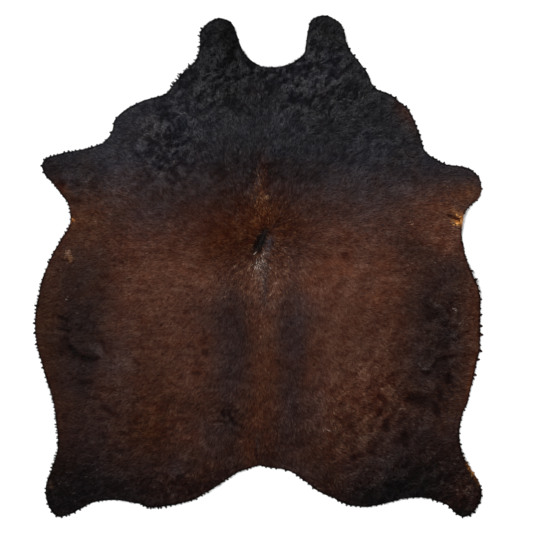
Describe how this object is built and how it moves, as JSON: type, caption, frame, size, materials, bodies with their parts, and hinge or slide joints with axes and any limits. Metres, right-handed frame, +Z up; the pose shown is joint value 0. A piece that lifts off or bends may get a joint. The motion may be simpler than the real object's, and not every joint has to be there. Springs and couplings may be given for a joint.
{
  "type": "cowhide rug",
  "caption": "Whole hair-on cowhide laid flat as a floor rug, with a notched neck, shank lobes at its corners and a rump with a tail notch.",
  "frame": {"origin": "on the floor, under the middle of the hide's bounding box", "axes": "+Y along the spine to the neck, +X to the right seen from above, +Z up through the hair"},
  "size_m": [1.959, 2.2, 0.0152],
  "materials": {
    "coat": "short dark brown cow hair, near black at the neck and shanks",
    "suede": "tanned flesh side, brushed suede"
  },
  "bodies": {
    "root": {"hide": "coat"}
  },
  "joints": []
}
